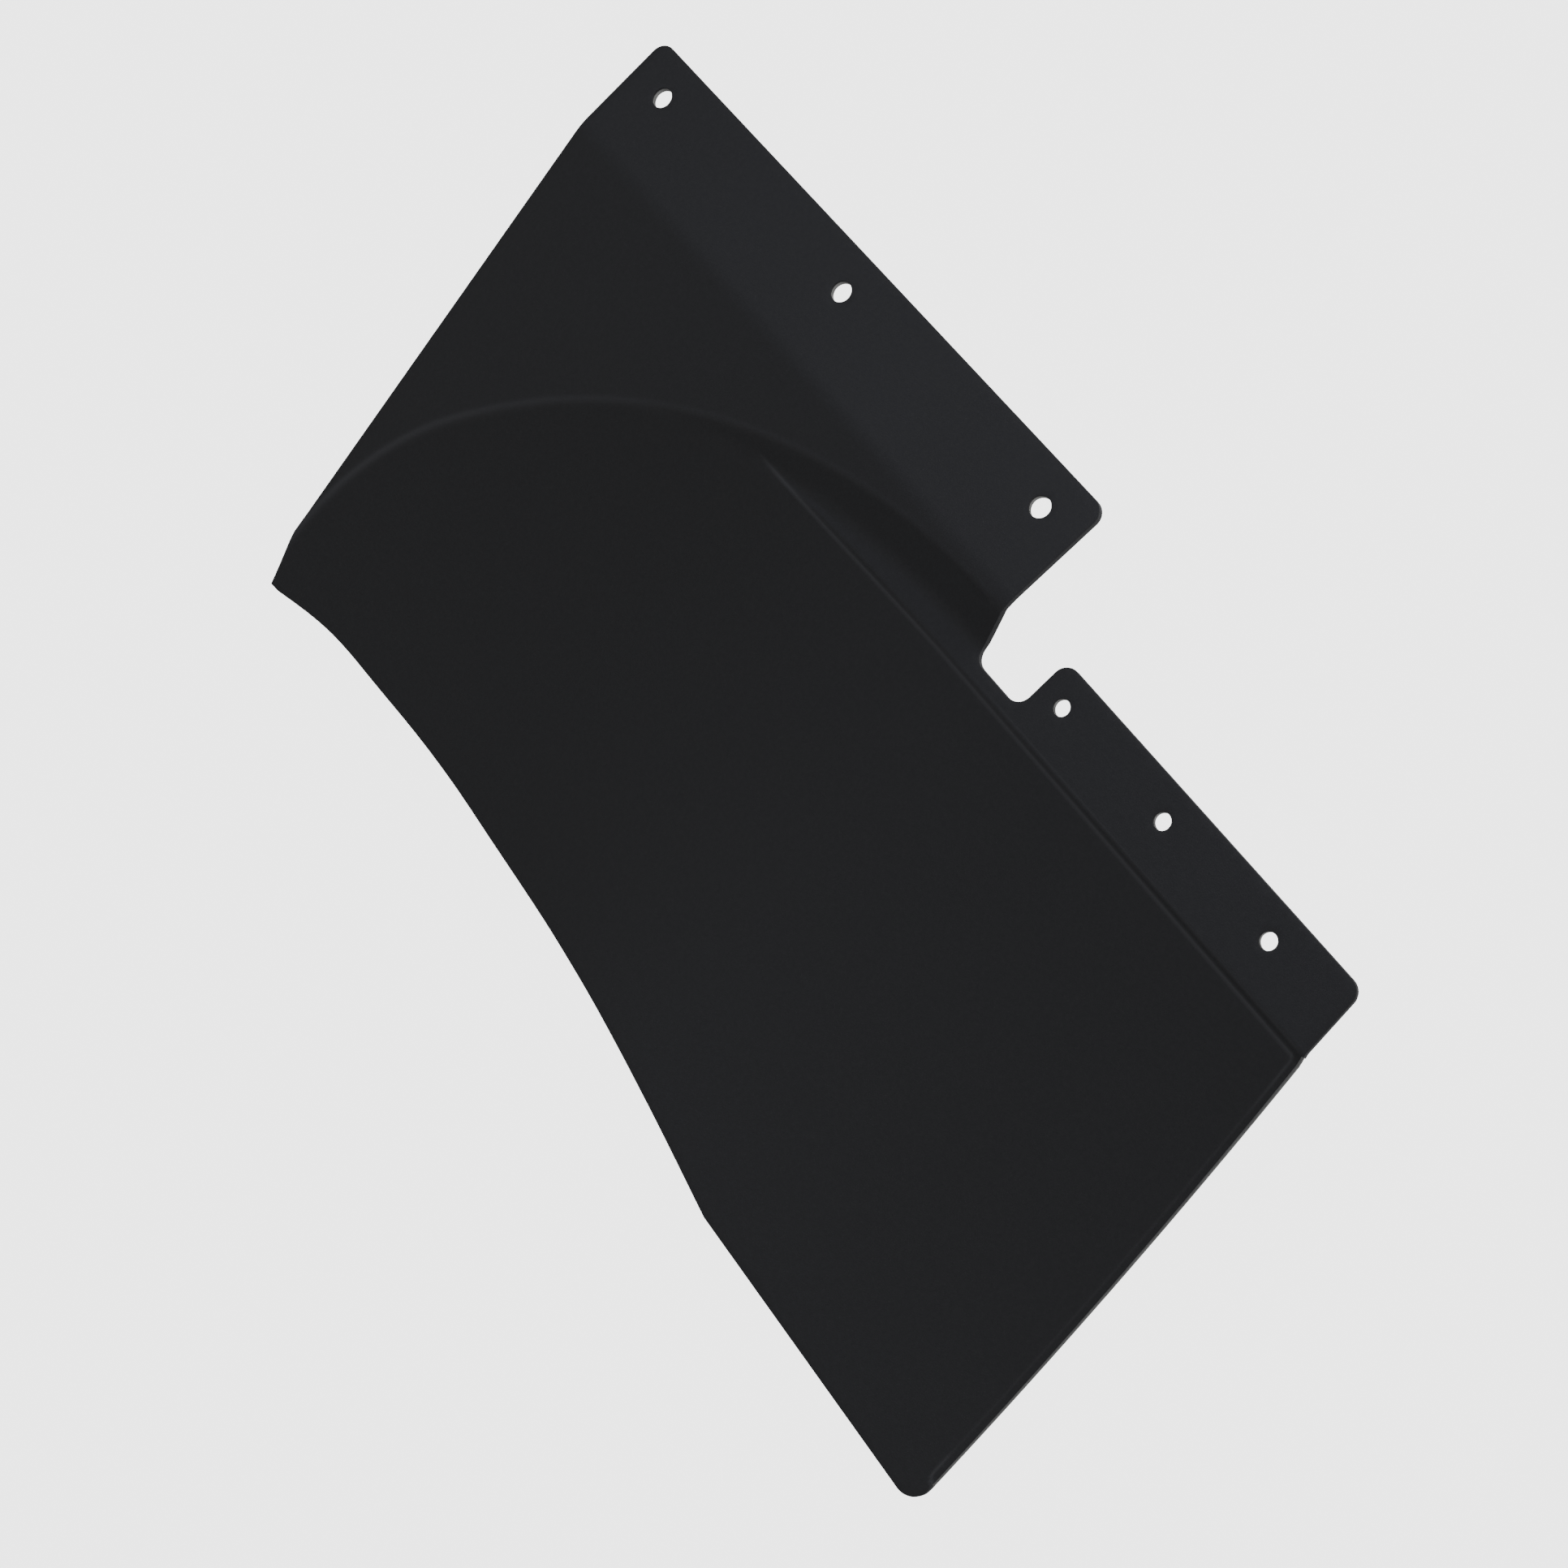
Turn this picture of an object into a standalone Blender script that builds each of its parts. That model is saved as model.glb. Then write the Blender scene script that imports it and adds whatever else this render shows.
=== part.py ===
"""Mud flap: a moulded sheet with two bolting flanges, six bolt sleeves and a bottom edge strip.

The flap hangs upright. Its flanges are on the +X side and its road-facing front looks along -Y.
The sheet is described by its depth behind the plane of the upper flange's front face, as a
function of two lengths: across, from the upper flange's outer edge towards the free edge, and
up, above the upper flange's lower end. World X runs against across, world Z runs with up.
The origin is on the upper flange's back face, on the bolt line, between two bolt holes.
"""
import bmesh
import bpy
from math import atan2, atan, cos, hypot, pi, radians, sin, sqrt, tan
from mathutils import Matrix, Vector

# Sheet
THICKNESS = 0.0045
BOLT_LINE_UPPER = 0.022         # across, from the upper flange's outer edge
ORIGIN_UP = 0.109               # height of the origin above the upper flange's lower end

# Upper flange and the sloping face beside it
UPPER_LENGTH = 0.3845
BEND_ACROSS = 0.0635            # bend line between the flange and the sloping face
SLOPE_ANGLE = radians(15.4)
TOP_CORNER = (0.355, 0.386)     # across, up: where the top edge meets the free corner
FREE_CORNER = (0.3895, 0.3795)

# Ridge: two arcs and a straight run along the flange
RIDGE_CENTRE = (0.4858, 0.0096)
RIDGE_RADIUS = 0.4162
RIDGE_TOP_CENTRE = (0.371, 0.151)
RIDGE_TOP_RADIUS = 0.2345
RIDGE_JOIN = (0.240, 0.3455)
RIDGE_FALL = 0.620              # extra slope just inside the ridge

# Rounding where two faces meet
BEND_SOFT = 0.0010
RIDGE_SOFT = 0.0025
FOOT_SOFT = 0.0024
CREASE_SOFT = 0.0008

# Lower flange
LOWER_OUTER = 0.0627            # across, to the lower flange's outer edge
LOWER_TOP = -0.0357
LOWER_DEPTH = 0.0195            # depth of the lower flange's front face, at LOWER_REF
LOWER_REF = 0.088
LOWER_SLOPE = 0.061
BOLT_LINE_LOWER = 0.080

# Notch between the flanges
NOTCH_FLOOR = 0.0962
CORNER_RADIUS = 0.008
BOTTOM_RADIUS = 0.011

# Main panel
CREASE_ACROSS = 0.1065
CREASE_SHIFT = 0.0035           # how far the crease wanders at its upper end
CREASE_TOP = 0.160
PANEL_STEP = 0.0035             # how far the panel lies behind the lower flange at the bottom
STEP_RISE = 0.410               # height over which the step fades out
STEP_RUN = 0.270                # width over which it mostly fades out
STEP_LEFT = 0.15                # share of it left at the free edge
PANEL_FALL = 0.316              # slope of the panel at the crease
PANEL_CURVE = 0.572             # how fast that slope eases off, per metre
DISH_FALL = 0.42                # slope of the dish just inside the ridge
DISH_CURVE = 1.1
DISH_REACH = 0.190
DISH_FROM = -0.035
DISH_TO = 0.285
FOLD_END = (0.3822, 0.318)       # across, up: the shallow fold from the ridge's join to the free edge
FOLD_DEPTH = 0.0018
FOLD_REACH = 0.090              # how far below the fold its depth fades out
FOLD_SOFT = 0.3                 # share of the fold's depth over which its crest is rounded
FREE_EDGE = ((0.3895, 0.3745), (0.3822, 0.335), (0.3818, 0.275), (0.3777, 0.172), (0.3731, 0.070),
             (0.3768, -0.010), (0.3920, -0.1075))
PANEL_EDGE = 0.3925             # across, to the straight part of the free edge

# Bottom edge, the shallow rebate above it and its strip
BOTTOM_START = -0.2513          # up, at the lower flange's outer edge
BOTTOM_SLOPE = -0.1077
RIM_WIDTH = 0.0042
RIM_RECESS = 0.0007
RIM_EASE = 0.0006
RIM_END = 0.377
RIM_FADE = 0.002
STRIP_FROM = 0.1035
STRIP_HEIGHT = 0.003
STRIP_SKIN = 0.0008
STRIP_STEPS = 24
CHANNEL_BACK = 0.010            # how far the strip's channel is cut beyond the back and below
CHANNEL_BELOW = 0.005
GAP = 0.0003

# Rows and reach of the lofted sheet, which is cut to its outline afterwards
RIM_ROWS = (-0.004, 0.0, RIM_WIDTH - RIM_EASE, RIM_WIDTH + RIM_EASE, 0.012)
TROUGH_TOP = -0.040
UPPER_ROWS = (-0.033, -0.002, 0.015, 0.040, 0.070, 0.100, 0.128, 0.150, 0.166, 0.182, 0.200, 0.222, 0.246,
              0.270, 0.292, 0.312, 0.330, 0.345, 0.356, 0.366, 0.374, 0.380, 0.384, 0.388, 0.392)
OUTER_REACH = 0.004
FREE_REACH = 0.402
WALL_ROOM = 0.012               # least width kept between the ridge and the crease
CREASE_FOOT = 0.005
SHEET_SPAN = 0.1                # half of the outline prism's depth
SHEET_MIDDLE = 0.06

# Bolt holes: across, up, diameter
UPPER_HOLES = [(BOLT_LINE_UPPER, 0.026 + 0.166 * i) for i in range(3)]
LOWER_HOLES = [(BOLT_LINE_LOWER, -0.0515 - 0.0768 * i) for i in range(3)]
UPPER_BORE = 0.0115
LOWER_BORE = 0.009
SLEEVE_WALL = 0.0016
SLEEVE_LENGTH = 0.0032
DRILL_START = -0.008
DRILL_LENGTH = 0.020
RECESS_LENGTH = 0.010
ROUND_STEPS = 32


# ---------------------------------------------------------------- the sheet as a function

def soft_max(a, b, soft):
    """The larger value, rounded where the two come within soft of each other."""
    near = max(soft - abs(a - b), 0.0) / soft
    return max(a, b) + 0.25 * soft * near * near


def soft_min(a, b, soft):
    return -soft_max(-a, -b, soft)


def lerp(a, b, t):
    return a + (b - a) * t


def ease(t):
    t = min(max(t, 0.0), 1.0)
    return t * t * (3.0 - 2.0 * t)


def bottom_up(across):
    """Height of the bottom edge at a place across."""
    return BOTTOM_START + BOTTOM_SLOPE * (across - LOWER_OUTER)


def ridge_across(up):
    """Where the ridge crosses a height."""
    if up > RIDGE_JOIN[1]:
        rise = min(up - RIDGE_TOP_CENTRE[1], RIDGE_TOP_RADIUS)
        return RIDGE_TOP_CENTRE[0] - sqrt(RIDGE_TOP_RADIUS ** 2 - rise ** 2)
    rise = max(up - RIDGE_CENTRE[1], 0.0)
    return RIDGE_CENTRE[0] - sqrt(RIDGE_RADIUS ** 2 - rise ** 2)


def inside_ridge(across, up):
    """Distance inside the ridge, negative outside it."""
    if up < RIDGE_CENTRE[1]:
        return across - (RIDGE_CENTRE[0] - RIDGE_RADIUS)
    dx = across - RIDGE_TOP_CENTRE[0]
    dz = up - RIDGE_TOP_CENTRE[1]
    join_x = RIDGE_JOIN[0] - RIDGE_TOP_CENTRE[0]
    join_z = RIDGE_JOIN[1] - RIDGE_TOP_CENTRE[1]
    if dz > 0.0 and dx * join_z - dz * join_x > 0.0:
        return RIDGE_TOP_RADIUS - hypot(dx, dz)
    return RIDGE_RADIUS - hypot(across - RIDGE_CENTRE[0], up - RIDGE_CENTRE[1])


def slope_depth(across):
    return tan(SLOPE_ANGLE) * (across - BEND_ACROSS)


def lower_flange_depth(across):
    return LOWER_DEPTH + LOWER_SLOPE * (across - LOWER_REF)


def crease_across(up):
    return CREASE_ACROSS + CREASE_SHIFT * ease(up / CREASE_TOP)


def rim_amount(across, up):
    """1 in the shallow rebate along the bottom edge, 0 off it."""
    inside_rim = 1.0 - ease((up - bottom_up(across) - RIM_WIDTH + RIM_EASE) / (2.0 * RIM_EASE))
    before_end = 1.0 - ease((across - RIM_END) / RIM_FADE)
    past_crease = ease((across - CREASE_ACROSS) / RIM_FADE)
    return inside_rim * before_end * past_crease


def fold_depth(across, up):
    """A shallow fold in the dish that deepens from the ridge's join towards the free edge."""
    along = (across - RIDGE_JOIN[0]) / (FOLD_END[0] - RIDGE_JOIN[0])
    rise = up - lerp(RIDGE_JOIN[1], FOLD_END[1], along)
    inside = inside_ridge(across, up)
    if along < 0.0 or inside < 0.0:
        return 0.0
    room = max(inside + rise, CREASE_SOFT)
    share = soft_min(inside / room, 1.0 + rise / FOLD_REACH, FOLD_SOFT)
    return FOLD_DEPTH * along * max(share, 0.0)


def panel_depth(across, up):
    """The main panel: an even trough below, a dish inside the ridge above."""
    run = across - CREASE_ACROSS
    step = PANEL_STEP * min(max((CREASE_TOP - up) / STEP_RISE, 0.0), 1.0)
    step *= 1.0 - (1.0 - STEP_LEFT) * min(max(run / STEP_RUN, 0.0), 1.0)
    step += RIM_RECESS * rim_amount(across, up)
    trough = lower_flange_depth(CREASE_ACROSS) + step + PANEL_FALL * run - PANEL_CURVE * run * run
    inside = min(inside_ridge(across, up), DISH_REACH)
    dish = slope_depth(across) + DISH_FALL * inside - DISH_CURVE * inside * inside + fold_depth(across, up)
    share = ease((up - DISH_FROM) / (DISH_TO - DISH_FROM))
    return trough + share * (dish - trough)


def floor_depth(across, up):
    """Lower flange and main panel, with the crease between them."""
    crease = crease_across(up)
    wall = panel_depth(crease, up) + (across - crease)
    panel = soft_min(panel_depth(across, up), wall, CREASE_SOFT)
    return soft_max(lower_flange_depth(across), panel, CREASE_SOFT)


def sheet_depth(across, up):
    """Depth of the sheet's front face."""
    floor = floor_depth(across, up)
    if up < 0.5 * LOWER_TOP:
        return floor
    inside = inside_ridge(across, up)
    outer = soft_max(0.0, slope_depth(across), BEND_SOFT)
    inner = soft_min(slope_depth(across) + RIDGE_FALL * inside, floor, FOOT_SOFT)
    share = ease((inside + RIDGE_SOFT) / (2.0 * RIDGE_SOFT))
    return outer + share * (inner - outer)


def world(across, up, depth):
    return Vector((BOLT_LINE_UPPER - across, depth - THICKNESS, up - ORIGIN_UP))


# ---------------------------------------------------------------- helpers

def collection(name):
    found = bpy.data.collections.new(name)
    bpy.context.scene.collection.children.link(found)
    return found


def material(name, colour, roughness, metallic=0.0):
    made = bpy.data.materials.new(name)
    made.use_nodes = True
    shader = made.node_tree.nodes["Principled BSDF"]
    shader.inputs["Base Color"].default_value = (*colour, 1.0)
    shader.inputs["Roughness"].default_value = roughness
    shader.inputs["Metallic"].default_value = metallic
    return made


def add_mesh(name, points, faces, home, finish=None):
    mesh = bpy.data.meshes.new(name)
    mesh.from_pydata(points, [], faces)
    mesh.validate()
    made = bpy.data.objects.new(name, mesh)
    home.objects.link(made)
    if finish:
        mesh.materials.append(finish)
    return made


def as_cutter(made):
    made.hide_render = True
    made.display_type = "WIRE"
    return made


def boolean(target, cutter, operation):
    step = target.modifiers.new(cutter.name, "BOOLEAN")
    step.operation = operation
    step.solver = "EXACT"
    step.object = cutter


def arc(centre, radius, start, end, steps):
    return [(centre[0] + radius * cos(lerp(start, end, i / steps)),
             centre[1] + radius * sin(lerp(start, end, i / steps))) for i in range(steps + 1)]


def round_corner(before, corner, after, radius, steps=6):
    """Points of the arc that rounds a corner between two straight edges."""
    corner = Vector(corner)
    to_before = (Vector(before) - corner).normalized()
    to_after = (Vector(after) - corner).normalized()
    half = to_before.angle(to_after) / 2.0
    centre = corner + (to_before + to_after).normalized() * (radius / sin(half))
    first = corner + to_before * (radius / tan(half)) - centre
    last = corner + to_after * (radius / tan(half)) - centre
    start = atan2(first.y, first.x)
    sweep = (atan2(last.y, last.x) - start + pi) % (2.0 * pi) - pi
    return arc(centre, radius, start, start + sweep, steps)


def smooth_run(points, per_span):
    """A smooth curve through chosen points, ends included."""
    found = []
    for i in range(len(points) - 1):
        before = Vector(points[max(i - 1, 0)])
        first = Vector(points[i])
        last = Vector(points[i + 1])
        after = Vector(points[min(i + 2, len(points) - 1)])
        for k in range(per_span):
            t = k / per_span
            found.append(tuple(0.5 * (2.0 * first + (last - before) * t
                                      + (2.0 * before - 5.0 * first + 4.0 * last - after) * t ** 2
                                      + (3.0 * first - before - 3.0 * last + after) * t ** 3)))
    return found + [tuple(points[-1])]


# ---------------------------------------------------------------- the sheet

def section_stations(up):
    """Places across one section, following the bend, ridge, crease and free edge."""
    ridge = ridge_across(up)
    crease = max(crease_across(up), ridge + WALL_ROOM)
    first = ridge - RIDGE_SOFT
    last = ridge + RIDGE_SOFT
    foot = crease - CREASE_FOOT
    rim = max(RIM_END, lerp(crease, FREE_REACH, 0.9))
    stations = [-OUTER_REACH, BOLT_LINE_UPPER, 2.0 * BOLT_LINE_UPPER, BEND_ACROSS - BEND_SOFT, BEND_ACROSS]
    stations += [lerp(BEND_ACROSS, first, t) for t in (0.25, 0.5, 0.75)]
    stations += [first, ridge, last]
    stations += [lerp(last, foot, t) for t in (0.4, 0.75)]
    stations += [foot, lerp(foot, crease, 0.6), crease]
    stations += [lerp(crease, rim, t) for t in (0.07, 0.16, 0.27, 0.39, 0.52, 0.65, 0.78, 0.9, 1.0)]
    stations += [lerp(rim, FREE_REACH, t) for t in (0.08, 0.5, 1.0)]
    return stations


def build_sheet(home, finish):
    """The front face as a loft of unlike sections, one row for each height."""
    lower = section_stations(TROUGH_TOP)
    rows = []
    for rise in RIM_ROWS:
        rows.append([(a, bottom_up(a) + rise) for a in lower])
    for t in (0.2, 0.4, 0.6, 0.8, 1.0):
        rows.append([(a, lerp(bottom_up(a) + RIM_ROWS[-1], TROUGH_TOP, t)) for a in lower])
    for up in UPPER_ROWS:
        rows.append([(a, up) for a in section_stations(up)])
    points = [world(a, up, sheet_depth(a, up)) for row in rows for a, up in row]
    width = len(rows[0])
    faces = []
    for i in range(len(rows) - 1):
        for k in range(width - 1):
            first = i * width + k
            faces.append((first, first + width, first + width + 1, first + 1))
    sheet = add_mesh("flap_moulding", points, faces, home, finish)
    sheet.data.shade_smooth()
    shell = sheet.modifiers.new("thickness", "SOLIDIFY")
    shell.thickness = THICKNESS
    shell.offset = -1.0
    shell.use_even_offset = True
    return sheet


def outline_points():
    """The flap's outline seen square to the upper flange: across, up."""
    top_left = (0.0, UPPER_LENGTH)
    upper_end = (0.0, 0.0)
    wall_foot = (NOTCH_FLOOR, 0.0)
    notch_end = (NOTCH_FLOOR, LOWER_TOP)
    lower_top = (LOWER_OUTER, LOWER_TOP)
    lower_end = (LOWER_OUTER, BOTTOM_START)
    panel_end = (PANEL_EDGE, bottom_up(PANEL_EDGE))
    cusp = FREE_EDGE[-1]
    bend_top = (BEND_ACROSS, UPPER_LENGTH)
    points = round_corner(bend_top, top_left, upper_end, CORNER_RADIUS)
    points += round_corner(top_left, upper_end, wall_foot, CORNER_RADIUS)
    points += round_corner(upper_end, wall_foot, notch_end, CORNER_RADIUS)
    points += round_corner(wall_foot, notch_end, lower_top, CORNER_RADIUS)
    points += round_corner(notch_end, lower_top, lower_end, CORNER_RADIUS)
    points += round_corner(lower_top, lower_end, panel_end, CORNER_RADIUS)
    points += round_corner(lower_end, panel_end, cusp, BOTTOM_RADIUS, 8)
    points += list(reversed(smooth_run(FREE_EDGE, 4)))
    points += [FREE_CORNER, TOP_CORNER, bend_top]
    return points


def outline_prism(home):
    """The outline as a flat curve, extruded through the sheet's whole depth."""
    curve = bpy.data.curves.new("outline", "CURVE")
    curve.dimensions = "2D"
    curve.fill_mode = "BOTH"
    curve.extrude = SHEET_SPAN
    line = curve.splines.new("POLY")
    outline = outline_points()
    line.points.add(len(outline) - 1)
    for point, (across, up) in zip(line.points, outline):
        place = world(across, up, 0.0)
        point.co = (place.x, place.z, 0.0, 1.0)
    line.use_cyclic_u = True
    flat = bpy.data.objects.new("outline_curve", curve)
    home.objects.link(flat)
    flat.matrix_world = Matrix.Translation((0.0, SHEET_MIDDLE, 0.0)) @ Matrix.Rotation(pi / 2.0, 4, "X")
    bpy.context.view_layer.update()
    mesh = bpy.data.meshes.new_from_object(flat.evaluated_get(bpy.context.evaluated_depsgraph_get()))
    prism = bpy.data.objects.new("outline_prism", mesh)
    prism.matrix_world = flat.matrix_world
    home.objects.link(prism)
    bpy.data.objects.remove(flat)
    weld(prism)
    return as_cutter(prism)


def weld(made):
    work = bmesh.new()
    work.from_mesh(made.data)
    bmesh.ops.remove_doubles(work, verts=work.verts, dist=0.00001)
    bmesh.ops.recalc_face_normals(work, faces=work.faces)
    work.to_mesh(made.data)
    work.free()


# ---------------------------------------------------------------- bolt holes and sleeves

def hole_frame(across, up, tilt, behind):
    """A frame on the front face, moved back along the hole's axis; local Z runs to the back."""
    depth = 0.0 if tilt == 0.0 else lower_flange_depth(across)
    facing = Matrix.Rotation(tilt, 4, "Z") @ Matrix.Rotation(-pi / 2.0, 4, "X")
    return Matrix.Translation(world(across, up, depth)) @ facing @ Matrix.Translation((0.0, 0.0, behind))


def cylinder(name, diameter, length, frame, home):
    bpy.ops.mesh.primitive_cylinder_add(vertices=ROUND_STEPS, radius=diameter / 2.0, depth=length)
    made = bpy.context.object
    made.name = name
    made.data.transform(Matrix.Translation((0.0, 0.0, length / 2.0)))
    made.matrix_world = frame
    for owner in list(made.users_collection):
        owner.objects.unlink(made)
    home.objects.link(made)
    return made


def build_hole(sheet, name, across, up, bore, tilt, parts, cutters, finish):
    """Bore the sheet, counterbore it from the back and make the sleeve that fills the counterbore."""
    seat = THICKNESS - SLEEVE_LENGTH
    drill = as_cutter(cylinder(name + "_drill", bore, DRILL_LENGTH,
                               hole_frame(across, up, tilt, DRILL_START), cutters))
    recess = as_cutter(cylinder(name + "_recess", bore + 2.0 * (SLEEVE_WALL + GAP), RECESS_LENGTH,
                                hole_frame(across, up, tilt, seat), cutters))
    boolean(sheet, drill, "DIFFERENCE")
    boolean(sheet, recess, "DIFFERENCE")
    sleeve = cylinder(name, bore + 2.0 * SLEEVE_WALL, SLEEVE_LENGTH - GAP,
                      hole_frame(across, up, tilt, seat + GAP), parts)
    sleeve.data.materials.append(finish)
    sleeve.data.shade_smooth()
    sleeve.data.set_sharp_from_angle(angle=radians(40.0))
    boolean(sleeve, drill, "DIFFERENCE")


# ---------------------------------------------------------------- bottom edge strip

def edge_bar(name, start, end, grow, back, below, home, finish=None):
    """A bar along the bottom edge: behind the front skin, open at the back and below."""
    points = []
    count = STRIP_STEPS
    for i in range(count + 1):
        across = lerp(start, end, i / count)
        edge = bottom_up(across)
        front = floor_depth(across, edge) + STRIP_SKIN + GAP - grow
        rear = floor_depth(across, edge) + THICKNESS + back
        low = edge - below
        high = edge + STRIP_HEIGHT + grow
        for depth, up in ((front, low), (front, high), (rear, high), (rear, low)):
            points.append(world(across, up, depth))
    faces = [(0, 1, 2, 3), tuple(4 * count + k for k in (3, 2, 1, 0))]
    for i in range(count):
        for k in range(4):
            faces.append((4 * i + k, 4 * i + 4 + k, 4 * i + 4 + (k + 1) % 4, 4 * i + (k + 1) % 4))
    made = add_mesh(name, points, faces, home, finish)
    weld(made)
    return made


def build():
    for old in list(bpy.data.objects):
        bpy.data.objects.remove(old)
    parts = collection("mud_flap")
    cutters = collection("mud_flap_cutters")
    black = material("black_moulding", (0.012, 0.012, 0.013), 0.55)
    steel = material("sleeve_steel", (0.32, 0.32, 0.31), 0.45, 1.0)
    grey = material("strip_grey", (0.30, 0.30, 0.29), 0.5)

    sheet = build_sheet(parts, black)
    boolean(sheet, outline_prism(cutters), "INTERSECT")
    channel = edge_bar("strip_channel", STRIP_FROM - GAP, RIM_END + GAP, GAP, CHANNEL_BACK, CHANNEL_BELOW,
                       cutters)
    boolean(sheet, as_cutter(channel), "DIFFERENCE")

    tilt = -atan(LOWER_SLOPE)
    for i, (across, up) in enumerate(UPPER_HOLES):
        name = "upper_bolt_sleeve_%d" % (3 - i)
        build_hole(sheet, name, across, up, UPPER_BORE, 0.0, parts, cutters, steel)
    for i, (across, up) in enumerate(LOWER_HOLES):
        name = "lower_bolt_sleeve_%d" % (i + 1)
        build_hole(sheet, name, across, up, LOWER_BORE, tilt, parts, cutters, steel)

    edge_bar("bottom_edge_strip", STRIP_FROM, RIM_END, 0.0, 0.0, 0.0, parts, grey)


build()
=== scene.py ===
from math import atan, cos, pi, radians, sin, tan

import bmesh
import bpy
import numpy as np
from mathutils import Matrix, Vector
from mathutils.geometry import delaunay_2d_cdt

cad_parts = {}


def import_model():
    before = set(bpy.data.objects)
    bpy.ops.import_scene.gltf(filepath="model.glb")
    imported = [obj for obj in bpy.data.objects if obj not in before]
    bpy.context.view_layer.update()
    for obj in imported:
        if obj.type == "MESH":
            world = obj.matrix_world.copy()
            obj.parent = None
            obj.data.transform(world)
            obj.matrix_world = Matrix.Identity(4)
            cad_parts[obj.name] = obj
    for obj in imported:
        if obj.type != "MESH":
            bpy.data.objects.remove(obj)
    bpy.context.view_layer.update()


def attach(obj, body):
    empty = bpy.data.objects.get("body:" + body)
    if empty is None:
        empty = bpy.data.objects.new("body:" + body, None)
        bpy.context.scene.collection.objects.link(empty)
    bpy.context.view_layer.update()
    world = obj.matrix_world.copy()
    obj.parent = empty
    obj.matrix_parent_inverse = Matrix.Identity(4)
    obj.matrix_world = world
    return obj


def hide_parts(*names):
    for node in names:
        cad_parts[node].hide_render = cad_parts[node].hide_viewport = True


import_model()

# ---------------------------------------------------------------- the sheet's sizes, in metres

THICKNESS = 0.0045
BOLT_LINE_UPPER = 0.022
ORIGIN_UP = 0.109
UPPER_LENGTH = 0.3845
BEND_ACROSS = 0.0635
SLOPE = tan(radians(15.4))
TOP_CORNER = (0.355, 0.386)
FREE_CORNER = (0.3895, 0.3795)
RIDGE_CENTRE = (0.4858, 0.0096)
RIDGE_RADIUS = 0.4162
RIDGE_TOP_CENTRE = (0.371, 0.151)
RIDGE_TOP_RADIUS = 0.2345
RIDGE_JOIN = (0.240, 0.3455)
RIDGE_FALL = 0.620
BEND_SOFT = 0.0014
RIDGE_SOFT = 0.0025
FOOT_SOFT = 0.0024
CREASE_SOFT = 0.0008
LOWER_OUTER = 0.0627
LOWER_TOP = -0.0357
LOWER_DEPTH = 0.0195
LOWER_REF = 0.088
LOWER_SLOPE = 0.061
BOLT_LINE_LOWER = 0.080
NOTCH_FLOOR = 0.0962
CORNER_RADIUS = 0.008
BOTTOM_RADIUS = 0.011
CREASE_ACROSS = 0.1065
CREASE_SHIFT = 0.0035
CREASE_TOP = 0.160
PANEL_STEP = 0.0035
STEP_RISE = 0.410
STEP_RUN = 0.270
STEP_LEFT = 0.15
PANEL_FALL = 0.316
PANEL_CURVE = 0.572
DISH_FALL = 0.42
DISH_CURVE = 1.1
DISH_REACH = 0.190
DISH_FROM = -0.035
DISH_TO = 0.285
FOLD_END = (0.3822, 0.318)
FOLD_DEPTH = 0.0018
FOLD_REACH = 0.090
FOLD_SOFT = 0.06
FREE_EDGE = ((0.3895, 0.3745), (0.3822, 0.335), (0.3818, 0.275), (0.3777, 0.172), (0.3731, 0.070),
             (0.3768, -0.010), (0.3920, -0.1075))
PANEL_EDGE = 0.3925
BOTTOM_START = -0.2513
BOTTOM_SLOPE = -0.1077
RIM_WIDTH = 0.0042
RIM_RECESS = 0.0007
RIM_EASE = 0.0006
RIM_END = 0.377
RIM_CORNER = 0.0040
STRIP_FROM = 0.1035
STRIP_HEIGHT = 0.003
STRIP_SKIN = 0.0008
GAP = 0.0003
SNUG = 0.00025                  # how much of that gap the seen strip fills
LIP_RIGHT = 0.0010              # height of the strip's face that shows, at its right and left ends
LIP_LEFT = 0.0005
UPPER_HOLES = [(BOLT_LINE_UPPER, 0.026 + 0.166 * i) for i in range(3)]
LOWER_HOLES = [(BOLT_LINE_LOWER, -0.0515 - 0.0768 * i) for i in range(3)]
UPPER_BORE = 0.0115
LOWER_BORE = 0.009
SLEEVE_WALL = 0.0016
SLEEVE_LENGTH = 0.0032

# Mesh detail
EDGE_ROUND = 0.0007
HOLE_ROUND = 0.00025
EDGE_STEPS = 3
GRID = 0.0036                   # spacing of the even points between the features
SPACING = 0.0030                # longest stretch of the outline
FINE_SPACING = 0.0006           # the same where the outline crosses the crease
FEATURE_ROOM = 0.0008           # least distance between points along the features
HOLE_STEPS = 56
HOLE_ROOM = 0.0004
HOLE_SHARE = 0.998              # a triangle nearer the middle than this lies in the hole
CDT_EPSILON = 1e-7
SLIVER = 0.000003
TURN_STEPS = 64
BACK_TURNS = 16
BACK_SHARES = (0.15, 0.3, 0.45, 0.6, 0.72, 0.82, 0.91, 0.97)
PAST_CREASE = 0.002             # width over which the rebate starts beside the crease
CREASE_SPAN = (-0.262, 0.30)    # heights between which the mesh follows the crease
RIDGE_LAST = pi / 2.0 - 0.1     # angle at which the mesh stops following the ridge

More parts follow.
